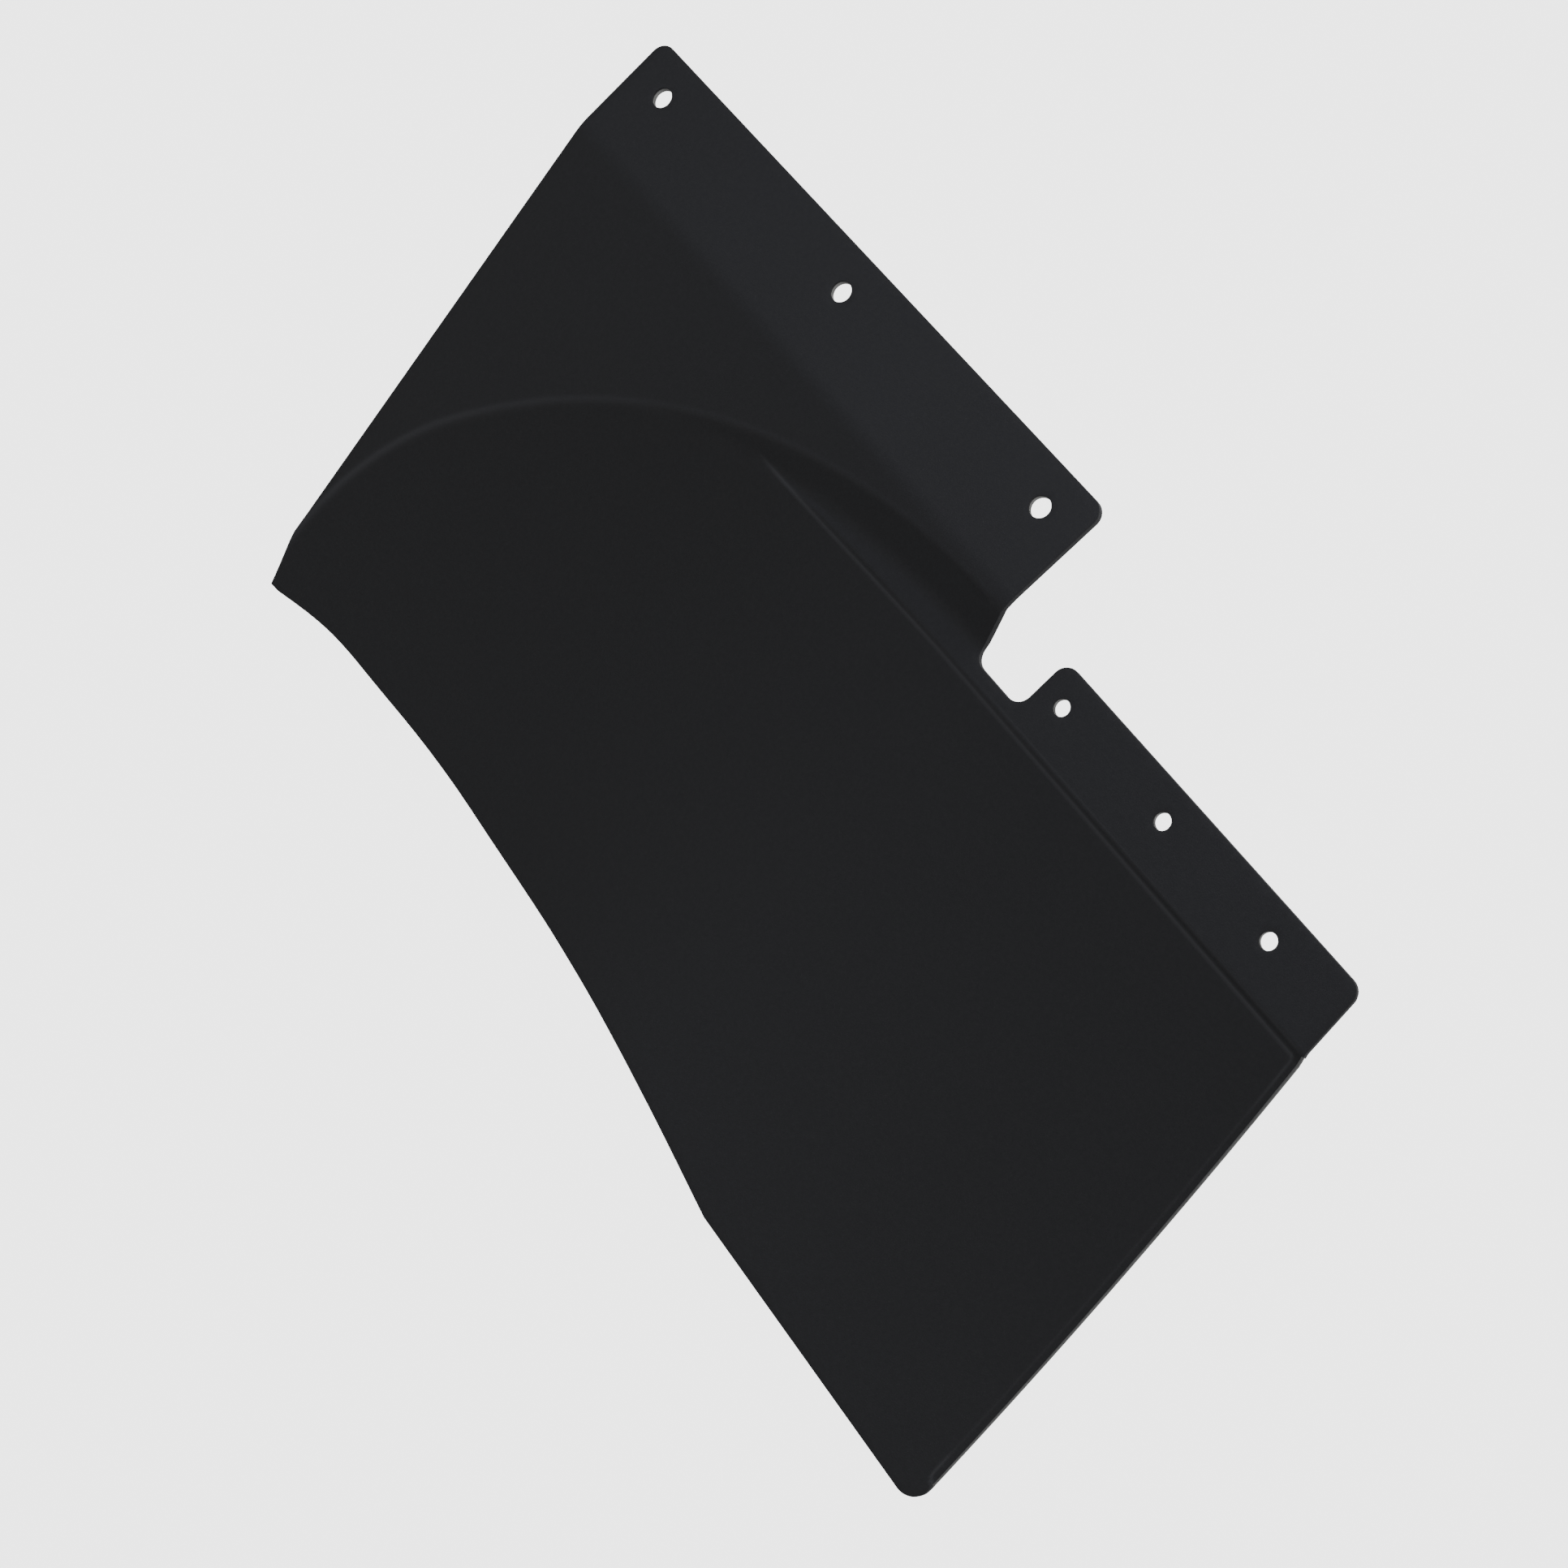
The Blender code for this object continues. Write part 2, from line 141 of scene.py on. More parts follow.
# Sideways places of the mesh's points along each feature
RIDGE_PLACES = (-0.0046, -0.0034, -0.0023, -0.0012, 0.0, 0.0012, 0.0023, 0.0034, 0.0046)
CREASE_PLACES = (-0.0020, -0.0010, 0.0, 0.0009, 0.0018, 0.0028, 0.0038, 0.0048, 0.0060)
BEND_PLACES = (-0.0046, -0.0030, -0.0015, 0.0, 0.0015, 0.0030, 0.0046)
FOLD_PLACES = (-0.0045, -0.0030, -0.0015, 0.0, 0.0015, 0.0030, 0.0045)
RIM_PLACES = (-0.0028, -0.0018, -0.0010, -0.0004, 0.0, 0.0004, 0.0010, 0.0018)

# Recesses, channel and strip
RECESS_DEPTH = 0.010
RECESS_CORE = 0.0005
CHANNEL_FRONT = 0.004           # how far the channel is cut beyond the front, the back and below
CHANNEL_BACK = 0.010
CHANNEL_BELOW = 0.005
STRIP_FINE = 0.0004             # stations of the strip near the crease, and their number beyond it
STRIP_FINE_REACH = 0.006
STRIP_STATIONS = 120
STRIP_END_ROUND = 0.0006
STRIP_EDGE_ROUND = 0.0004
SLEEVE_ROUND = 0.0003

# Painted highlight: half width of each light line painted along the rounded ridge, crease, wall top and
# rebate edge where they catch the light, and how strong it is
RIDGE_HIGHLIGHT_WIDTH = 0.0023
CREASE_HIGHLIGHT_WIDTH = 0.0010
WALL_HIGHLIGHT_WIDTH = 0.0007
RIM_HIGHLIGHT_WIDTH = 0.0007
RIDGE_HIGHLIGHT = (0.20, 0.75)       # beside the flange, and towards the free edge
CREASE_HIGHLIGHT = 1.00
WALL_HIGHLIGHT = 0.30
RIM_HIGHLIGHT = 0.75
CUT_HIGHLIGHT = 0.8                  # painted highlight on the cut edges, hole walls and notch walls
FRONT_NEAR = 0.0003
CUT_NEAR = 0.0001


# ---------------------------------------------------------------- the sheet as a function

def soft_max(a, b, soft):
    near = np.maximum(soft - np.abs(a - b), 0.0) / soft
    return np.maximum(a, b) + 0.25 * soft * near * near


def soft_min(a, b, soft):
    return -soft_max(-a, -b, soft)


def lerp(a, b, t):
    return a + (b - a) * t


def ease(t):
    t = np.clip(t, 0.0, 1.0)
    return t * t * (3.0 - 2.0 * t)


def bottom_up(across):
    return BOTTOM_START + BOTTOM_SLOPE * (across - LOWER_OUTER)


def inside_ridge(across, up):
    """Distance inside the ridge, negative outside it."""
    straight = across - (RIDGE_CENTRE[0] - RIDGE_RADIUS)
    lower = RIDGE_RADIUS - np.hypot(across - RIDGE_CENTRE[0], up - RIDGE_CENTRE[1])
    dx = across - RIDGE_TOP_CENTRE[0]
    dz = up - RIDGE_TOP_CENTRE[1]
    join_x = RIDGE_JOIN[0] - RIDGE_TOP_CENTRE[0]
    join_z = RIDGE_JOIN[1] - RIDGE_TOP_CENTRE[1]
    upper = RIDGE_TOP_RADIUS - np.hypot(dx, dz)
    on_top = (dz > 0.0) & (dx * join_z - dz * join_x > 0.0)
    return np.where(up < RIDGE_CENTRE[1], straight, np.where(on_top, upper, lower))


def slope_depth(across):
    return SLOPE * (across - BEND_ACROSS)


def lower_flange_depth(across):
    return LOWER_DEPTH + LOWER_SLOPE * (across - LOWER_REF)


def crease_across(up):
    return CREASE_ACROSS + CREASE_SHIFT * ease(up / CREASE_TOP)


def rim_distance(across, up):
    """Distance into the rebate along the bottom edge, with its far end rounded; negative outside."""
    below = RIM_WIDTH - (up - bottom_up(across))
    before = RIM_END - across
    corner = RIM_CORNER - np.hypot(np.maximum(RIM_CORNER - below, 0.0), np.maximum(RIM_CORNER - before, 0.0))
    return np.minimum(np.minimum(below, before), corner)


def rim_amount(across, up):
    past_crease = ease((across - CREASE_ACROSS) / PAST_CREASE)
    return past_crease * ease((rim_distance(across, up) + RIM_EASE) / (2.0 * RIM_EASE))


def fold_line(across):
    """Height of the fold that runs from the ridge's join to the free edge."""
    return lerp(RIDGE_JOIN[1], FOLD_END[1], (across - RIDGE_JOIN[0]) / (FOLD_END[0] - RIDGE_JOIN[0]))


def fold_depth(across, up):
    """A shallow fold in the dish that deepens from the ridge's join towards the free edge."""
    along = np.maximum((across - RIDGE_JOIN[0]) / (FOLD_END[0] - RIDGE_JOIN[0]), 0.0)
    rise = up - fold_line(across)
    inside = np.maximum(inside_ridge(across, up), 0.0)
    room = np.maximum(inside + rise, CREASE_SOFT)
    share = soft_min(inside / room, 1.0 + rise / FOLD_REACH, FOLD_SOFT)
    return FOLD_DEPTH * along * np.maximum(share, 0.0)


def panel_depth(across, up):
    """The main panel: an even trough below, a dish inside the ridge above."""
    run = across - CREASE_ACROSS
    step = PANEL_STEP * np.clip((CREASE_TOP - up) / STEP_RISE, 0.0, 1.0)
    step = step * (1.0 - (1.0 - STEP_LEFT) * np.clip(run / STEP_RUN, 0.0, 1.0))
    step = step + RIM_RECESS * rim_amount(across, up)
    trough = lower_flange_depth(CREASE_ACROSS) + step + PANEL_FALL * run - PANEL_CURVE * run * run
    inside = np.minimum(inside_ridge(across, up), DISH_REACH)
    dish = slope_depth(across) + DISH_FALL * inside - DISH_CURVE * inside * inside + fold_depth(across, up)
    return trough + ease((up - DISH_FROM) / (DISH_TO - DISH_FROM)) * (dish - trough)


def floor_depth(across, up):
    """Lower flange and main panel, with the crease between them."""
    crease = crease_across(up)
    wall = panel_depth(crease, up) + (across - crease)
    panel = soft_min(panel_depth(across, up), wall, CREASE_SOFT)
    return soft_max(lower_flange_depth(across), panel, CREASE_SOFT)


def sheet_depth(across, up):
    """Depth of the sheet's front face."""
    across = np.asarray(across, float)
    up = np.asarray(up, float)
    floor = floor_depth(across, up)
    inside = inside_ridge(across, up)
    outer = soft_max(np.zeros_like(across), slope_depth(across), BEND_SOFT)
    inner = soft_min(slope_depth(across) + RIDGE_FALL * inside, floor, FOOT_SOFT)
    upper = outer + ease((inside + RIDGE_SOFT) / (2.0 * RIDGE_SOFT)) * (inner - outer)
    return np.where(up < 0.5 * LOWER_TOP, floor, upper)


def back_depth(across, up):
    """Depth of the back face, everywhere one thickness from the front."""
    across = np.asarray(across, float)
    up = np.asarray(up, float)
    best = sheet_depth(across, up) + THICKNESS
    for share in BACK_SHARES:
        reach = share * THICKNESS
        rise = THICKNESS * (1.0 - share * share) ** 0.5
        for k in range(BACK_TURNS):
            angle = 2.0 * pi * k / BACK_TURNS
            near = sheet_depth(across + reach * cos(angle), up + reach * sin(angle))
            best = np.maximum(best, near + rise)
    return best


def world(across, up, depth):
    return np.stack([BOLT_LINE_UPPER - across, depth - THICKNESS, up - ORIGIN_UP], axis=-1)


# ---------------------------------------------------------------- the outline and its rings

def round_corner(before, corner, after, radius, steps=10):
    """Points of the arc that rounds a corner between two straight edges."""
    corner = Vector(corner)
    to_before = (Vector(before) - corner).normalized()
    to_after = (Vector(after) - corner).normalized()
    half = to_before.angle(to_after) / 2.0
    centre = corner + (to_before + to_after).normalized() * (radius / sin(half))
    first = corner + to_before * (radius / tan(half)) - centre
    last = corner + to_after * (radius / tan(half)) - centre
    start = np.arctan2(first.y, first.x)
    sweep = (np.arctan2(last.y, last.x) - start + pi) % (2.0 * pi) - pi
    angles = [start + sweep * i / steps for i in range(steps + 1)]
    return [(centre.x + radius * cos(a), centre.y + radius * sin(a)) for a in angles]


def smooth_run(points, per_span):
    """A smooth curve through chosen points, ends included."""
    found = []
    for i in range(len(points) - 1):
        before = Vector(points[max(i - 1, 0)])
        first = Vector(points[i])
        last = Vector(points[i + 1])
        after = Vector(points[min(i + 2, len(points) - 1)])
        for k in range(per_span):
            t = k / per_span
            found.append(tuple(0.5 * (2.0 * first + (last - before) * t
                                      + (2.0 * before - 5.0 * first + 4.0 * last - after) * t ** 2
                                      + (3.0 * first - before - 3.0 * last + after) * t ** 3)))
    return found + [tuple(points[-1])]


def outline_points():
    top_left = (0.0, UPPER_LENGTH)
    upper_end = (0.0, 0.0)
    wall_foot = (NOTCH_FLOOR, 0.0)
    notch_end = (NOTCH_FLOOR, LOWER_TOP)
    lower_top = (LOWER_OUTER, LOWER_TOP)
    lower_end = (LOWER_OUTER, BOTTOM_START)
    panel_end = (PANEL_EDGE, bottom_up(PANEL_EDGE))
    cusp = FREE_EDGE[-1]
    bend_top = (BEND_ACROSS, UPPER_LENGTH)
    points = round_corner(bend_top, top_left, upper_end, CORNER_RADIUS)
    points += round_corner(top_left, upper_end, wall_foot, CORNER_RADIUS)
    points += round_corner(upper_end, wall_foot, notch_end, CORNER_RADIUS)
    points += round_corner(wall_foot, notch_end, lower_top, CORNER_RADIUS)
    points += round_corner(notch_end, lower_top, lower_end, CORNER_RADIUS)
    points += round_corner(lower_top, lower_end, panel_end, CORNER_RADIUS)
    fine = np.arange(CREASE_ACROSS - 0.006, CREASE_ACROSS + 0.008, FINE_SPACING)
    points += [(a, bottom_up(a)) for a in fine]
    points += round_corner(lower_end, panel_end, cusp, BOTTOM_RADIUS, 14)
    points += list(reversed(smooth_run(FREE_EDGE, 10)))
    points += [FREE_CORNER, TOP_CORNER, bend_top]
    return points


def spaced(points, step):
    """A closed run of points with no stretch longer than step."""
    found = []
    for i, first in enumerate(points):
        last = points[(i + 1) % len(points)]
        gap = np.hypot(last[0] - first[0], last[1] - first[1])
        parts = max(int(np.ceil(gap / step)), 1)
        for k in range(parts):
            found.append((lerp(first[0], last[0], k / parts), lerp(first[1], last[1], k / parts)))
    return np.array(found)


def inset(loop, distance):
    """The loop moved to its left by a distance."""
    before = loop - np.roll(loop, 1, axis=0)
    after = np.roll(loop, -1, axis=0) - loop
    before /= np.linalg.norm(before, axis=1)[:, None]
    after /= np.linalg.norm(after, axis=1)[:, None]
    middle = before + after
    middle /= np.linalg.norm(middle, axis=1)[:, None]
    stretch = 1.0 / np.maximum(np.sum(middle * after, axis=1), 0.5)
    return loop + distance * stretch[:, None] * np.stack([-middle[:, 1], middle[:, 0]], axis=-1)


def circle(centre, radius):
    angles = 2.0 * pi * np.arange(HOLE_STEPS) / HOLE_STEPS
    return np.stack([centre[0] + radius * np.cos(angles), centre[1] + radius * np.sin(angles)], axis=-1)


def offset_run(line, distance):
    """An open line moved sideways."""
    along = np.gradient(line, axis=0)
    along /= np.linalg.norm(along, axis=1)[:, None]
    return line + distance * np.stack([-along[:, 1], along[:, 0]], axis=-1)


def arc_points(centre, radius, angles):
    return [(centre[0] + radius * cos(a), centre[1] + radius * sin(a)) for a in angles]


def feature_runs():
    """Lines that the mesh follows, each with the sideways places of its points."""
    angle_join = np.arctan2(RIDGE_JOIN[1] - RIDGE_CENTRE[1], RIDGE_JOIN[0] - RIDGE_CENTRE[0])
    ridge = arc_points(RIDGE_CENTRE, RIDGE_RADIUS, np.linspace(pi, angle_join, 150))
    top_join = np.arctan2(RIDGE_JOIN[1] - RIDGE_TOP_CENTRE[1], RIDGE_JOIN[0] - RIDGE_TOP_CENTRE[0])
    ridge += arc_points(RIDGE_TOP_CENTRE, RIDGE_TOP_RADIUS, np.linspace(top_join, RIDGE_LAST, 62)[1:])
    heights = np.linspace(*CREASE_SPAN, 190)
    crease = np.stack([crease_across(heights), heights], axis=-1)
    bend_heights = np.linspace(0.002, UPPER_LENGTH - 0.002, 120)
    bend = np.stack([np.full(120, BEND_ACROSS), bend_heights], axis=-1)
    along = np.linspace(CREASE_ACROSS + 0.002, RIM_END + 0.006, 140)
    rim = np.stack([along, bottom_up(along) + RIM_WIDTH], axis=-1)
    folds = np.linspace(RIDGE_JOIN[0] + 0.004, FOLD_END[0] + 0.006, 60)
    fold = np.stack([folds, fold_line(folds)], axis=-1)
    return [
        (np.array(ridge), RIDGE_PLACES),
        (crease, CREASE_PLACES),
        (bend, BEND_PLACES),
        (fold, FOLD_PLACES),
        (rim, RIM_PLACES),
    ]


def inside_polygon(points, loop):
    """Which points lie inside a closed loop."""
    inside = np.zeros(len(points), bool)
    after = np.roll(loop, -1, axis=0)
    for (x0, y0), (x1, y1) in zip(loop, after):
        if y0 == y1:
            continue
        crosses = (points[:, 1] > min(y0, y1)) & (points[:, 1] <= max(y0, y1))
        at = x0 + (points[:, 1] - y0) * (x1 - x0) / (y1 - y0)
        inside ^= crosses & (points[:, 0] < at)
    return inside


def thinned(points, taken, room):
    """The points that keep their distance from those already taken."""
    cells = {}
    for x, y in taken:
        cells.setdefault((int(x // room), int(y // room)), []).append((x, y))
    kept = []
    for x, y in points:
        cx, cy = int(x // room), int(y // room)
        near = [q for i in (-1, 0, 1) for j in (-1, 0, 1) for q in cells.get((cx + i, cy + j), ())]
        if all((x - q[0]) ** 2 + (y - q[1]) ** 2 > room * room for q in near):
            kept.append((x, y))
    return kept


def inner_points(outline, holes):
    """Points of the sheet's mesh: along its features first, and an even grid elsewhere."""
    taken = [tuple(p) for p in outline] + [tuple(p) for hole in holes for p in hole]
    found = []
    for line, places in feature_runs():
        fresh = []
        for place in places:
            fresh += [tuple(p) for p in offset_run(line, place)]
        fresh = thinned(fresh, taken, FEATURE_ROOM)
        found += fresh
        taken += fresh
    low = outline.min(axis=0)
    high = outline.max(axis=0)
    across = np.arange(low[0], high[0], GRID)
    up = np.arange(low[1], high[1], GRID * 0.9)
    grid = [(a + (0.5 * GRID if k % 2 else 0.0), u) for k, u in enumerate(up) for a in across]
    found += thinned(grid, taken, 0.6 * GRID)
    found = np.array(found)
    found = found[inside_polygon(found, outline)]
    for hole in holes:
        middle = hole.mean(axis=0)
        radius = np.hypot(*(hole[0] - middle))
        found = found[np.hypot(found[:, 0] - middle[0], found[:, 1] - middle[1]) > radius + HOLE_ROOM]
    return found


def triangulate(outline, holes):
    """Triangles between the outline and the holes: points, triangles, and where each loop's points are."""
    loops = [outline] + holes
    points = np.vstack(loops + [inner_points(outline, holes)])
    edges = []
    starts = np.cumsum([0] + [len(loop) for loop in loops])
    for start, loop in zip(starts, loops):
        edges += [(start + k, start + (k + 1) % len(loop)) for k in range(len(loop))]
    edges = [(int(a), int(b)) for a, b in edges]
    result = delaunay_2d_cdt([Vector(p) for p in points], edges, [], 1, CDT_EPSILON)
    made = np.array([tuple(v) for v in result[0]])
    place = {}
    for k, sources in enumerate(result[3]):
        for source in sources:
            place[source] = k
    triangles = np.array([tuple(f) for f in result[2]])
    middle = made[triangles].mean(axis=1)
    keep = np.ones(len(triangles), bool)
    for hole in holes:
        centre = hole.mean(axis=0)
        radius = np.hypot(*(hole[0] - centre))
        keep &= np.hypot(middle[:, 0] - centre[0], middle[:, 1] - centre[1]) > radius * HOLE_SHARE
    at = [[place[start + k] for k in range(len(loop))] for start, loop in zip(starts, loops)]
    return made, triangles[keep], at


# ---------------------------------------------------------------- mesh helpers

def new_piece(name, points, faces, finish, sharp=40.0):
    mesh = bpy.data.meshes.new(name)
    mesh.from_pydata([tuple(p) for p in points], [], faces)
    work = bmesh.new()
    work.from_mesh(mesh)
    bmesh.ops.recalc_face_normals(work, faces=work.faces)
    work.to_mesh(mesh)
    work.free()
    mesh.materials.append(finish)
    mesh.shade_smooth()
    mesh.set_sharp_from_angle(angle=radians(sharp))
    made = bpy.data.objects.new(name, mesh)
    bpy.context.scene.collection.objects.link(made)
    return made


def cut(piece, cutters):
    """Takes the cutters' shapes out of a piece for good."""
    for cutter in cutters:
        step = piece.modifiers.new(cutter.name, "BOOLEAN")
        step.operation = "DIFFERENCE"
        step.solver = "MANIFOLD"
        step.object = cutter
    bpy.context.view_layer.update()
    mesh = bpy.data.meshes.new_from_object(piece.evaluated_get(bpy.context.evaluated_depsgraph_get()))
    piece.modifiers.clear()
    work = bmesh.new()
    work.from_mesh(mesh)
    bmesh.ops.dissolve_degenerate(work, edges=work.edges, dist=SLIVER)
    work.to_mesh(mesh)
    work.free()
    piece.data = mesh
    for cutter in cutters:
        bpy.data.objects.remove(cutter)


def turned(profile, steps, frame_matrix):
    """A ring: a closed profile of (radius, along) turned about local Z."""
    points = []
    for k in range(steps):
        angle = 2.0 * pi * k / steps
        points += [frame_matrix @ Vector((r * cos(angle), r * sin(angle), z)) for r, z in profile]
    count = len(profile)
    faces = []
    for k in range(steps):
        for j in range(count):
            a = k * count + j
            b = k * count + (j + 1) % count
            c = ((k + 1) % steps) * count + (j + 1) % count
            d = ((k + 1) % steps) * count + j
            faces.append((a, b, c, d))
    return points, faces


def rounded_box(x0, z0, x1, z1, radius, steps=3):
    """The four sides and rounded corners of a rectangle, as a closed profile."""
    corners = ((x1 - radius, z0 + radius, -90.0), (x1 - radius, z1 - radius, 0.0),
               (x0 + radius, z1 - radius, 90.0), (x0 + radius, z0 + radius, 180.0))
    points = []
    for cx, cz, start in corners:
        for k in range(steps + 1):
            angle = radians(start + 90.0 * k / steps)
            points.append((cx + radius * cos(angle), cz + radius * sin(angle)))
    return points


def hole_frame(across, up, tilt, behind):
    """A frame on the front face, moved back along the hole's axis; local Z runs to the back."""
    depth = 0.0 if tilt == 0.0 else float(lower_flange_depth(across))
    facing = Matrix.Rotation(tilt, 4, "Z") @ Matrix.Rotation(-pi / 2.0, 4, "X")
    place = Matrix.Translation(Vector(world(across, up, depth)))
    return place @ facing @ Matrix.Translation((0.0, 0.0, behind))


# ---------------------------------------------------------------- materials

def node_material(name):
    made = bpy.data.materials.new(name)
    made.use_nodes = True
    tree = made.node_tree
    return made, tree, tree.nodes["Principled BSDF"]


def add_node(tree, kind, inputs=(), **settings):
    node = tree.nodes.new(kind)
    for key, value in settings.items():
        setattr(node, key, value)
    for key, value in dict(inputs).items():
        node.inputs[key].default_value = value
    return node


def ramp(tree, source, stops):
    node = tree.nodes.new("ShaderNodeValToRGB")
    tree.links.new(source, node.inputs["Fac"])
    while len(node.color_ramp.elements) < len(stops):
        node.color_ramp.elements.new(0.5)
    for element, (place, grey) in zip(node.color_ramp.elements, stops):
        element.position = place
        element.color = (*grey, 1.0) if isinstance(grey, tuple) else (grey, grey, grey, 1.0)
    return node.outputs["Color"]


def mix(tree, share, a, b, blend="MIX"):
    node = tree.nodes.new("ShaderNodeMix")
    node.data_type = "RGBA"
    node.blend_type = blend
    for value, socket in ((share, node.inputs["Factor"]), (a, node.inputs[6]), (b, node.inputs[7])):
        if isinstance(value, (float, tuple)):
            socket.default_value = value
        else:
            tree.links.new(value, socket)
    return node.outputs[2]


def noise(tree, coordinates, scale, detail, rough=0.5):
    node = add_node(tree, "ShaderNodeTexNoise", {"Scale": scale, "Detail": detail, "Roughness": rough})
    tree.links.new(coordinates, node.inputs["Vector"])
    return node.outputs["Fac"]


def bump(tree, shader, height, strength, distance):
    node = add_node(tree, "ShaderNodeBump", {"Strength": strength, "Distance": distance})
    tree.links.new(height, node.inputs["Height"])
    tree.links.new(node.outputs["Normal"], shader.inputs["Normal"])
    return node


def moulding_material():
    made, tree, shader = node_material("moulded_black")
    coordinates = tree.nodes.new("ShaderNodeTexCoord").outputs["Object"]
    cloud = noise(tree, coordinates, 9.0, 3.0)
    speck = noise(tree, coordinates, 420.0, 2.0)
    painted_highlight = add_node(tree, "ShaderNodeAttribute", attribute_name="painted_highlight").outputs["Fac"]
    base = ramp(tree, cloud, ((0.30, (0.0115, 0.0115, 0.0122)), (0.70, (0.0135, 0.0135, 0.0142))))
    base = mix(tree, 0.10, base, ramp(tree, speck, ((0.35, 0.006), (0.75, 0.030))))
    # painted highlight: the attribute lightens the black towards dark grey along the ridge, crease, rebate
    # and cut edges
    highlighted = mix(tree, painted_highlight, base, (0.034, 0.034, 0.036, 1.0))
    tree.links.new(highlighted, shader.inputs["Base Color"])
    rough = ramp(tree, cloud, ((0.25, 0.56), (0.75, 0.64)))
    tree.links.new(rough, shader.inputs["Roughness"])
    shader.inputs["Specular IOR Level"].default_value = 0.32
    grain = add_node(tree, "ShaderNodeTexVoronoi", {"Scale": 1100.0, "Randomness": 1.0}, feature="SMOOTH_F1")
    tree.links.new(coordinates, grain.inputs["Vector"])
    fine = noise(tree, coordinates, 2600.0, 2.0)
    height = add_node(tree, "ShaderNodeMath", {1: 0.5}, operation="MULTIPLY_ADD")
    tree.links.new(fine, height.inputs[0])
    tree.links.new(grain.outputs["Distance"], height.inputs[2])
    bump(tree, shader, height.outputs["Value"], 0.22, 0.00016)
    return made


def strip_material():
    made, tree, shader = node_material("strip_grey_fabric")
    coordinates = tree.nodes.new("ShaderNodeTexCoord").outputs["Object"]
    cloud = noise(tree, coordinates, 60.0, 4.0)
    base = ramp(tree, cloud, ((0.3, (0.095, 0.095, 0.090)), (0.7, (0.135, 0.135, 0.128))))
    tree.links.new(base, shader.inputs["Base Color"])
    shader.inputs["Roughness"].default_value = 0.62
    shader.inputs["Specular IOR Level"].default_value = 0.35
    bump(tree, shader, noise(tree, coordinates, 1600.0, 3.0), 0.25, 0.0002)
    return made


def sleeve_material():
    made, tree, shader = node_material("sleeve_zinc_steel")
    coordinates = tree.nodes.new("ShaderNodeTexCoord").outputs["Object"]
    patches = noise(tree, coordinates, 240.0, 4.0, 0.6)
    base = ramp(tree, patches, ((0.3, (0.26, 0.26, 0.255)), (0.7, (0.36, 0.36, 0.35))))
    tree.links.new(base, shader.inputs["Base Color"])
    tree.links.new(ramp(tree, patches, ((0.3, 0.36), (0.7, 0.52))), shader.inputs["Roughness"])
    shader.inputs["Metallic"].default_value = 1.0
    bump(tree, shader, noise(tree, coordinates, 2200.0, 2.0), 0.2, 0.0001)
    return made


# ---------------------------------------------------------------- the moulded sheet

def edge_ring(loop, away, round_size, theta, front):
    """One ring of a rounded edge: moved off the loop by the corner's circle."""
    moved = inset(loop, away * round_size * (1.0 - cos(theta)))
    sunk = round_size * (1.0 - sin(theta))
    if front:
        depth = sheet_depth(moved[:, 0], moved[:, 1]) + sunk
    else:
        depth = back_depth(moved[:, 0], moved[:, 1]) - sunk
    return moved, world(moved[:, 0], moved[:, 1], depth)


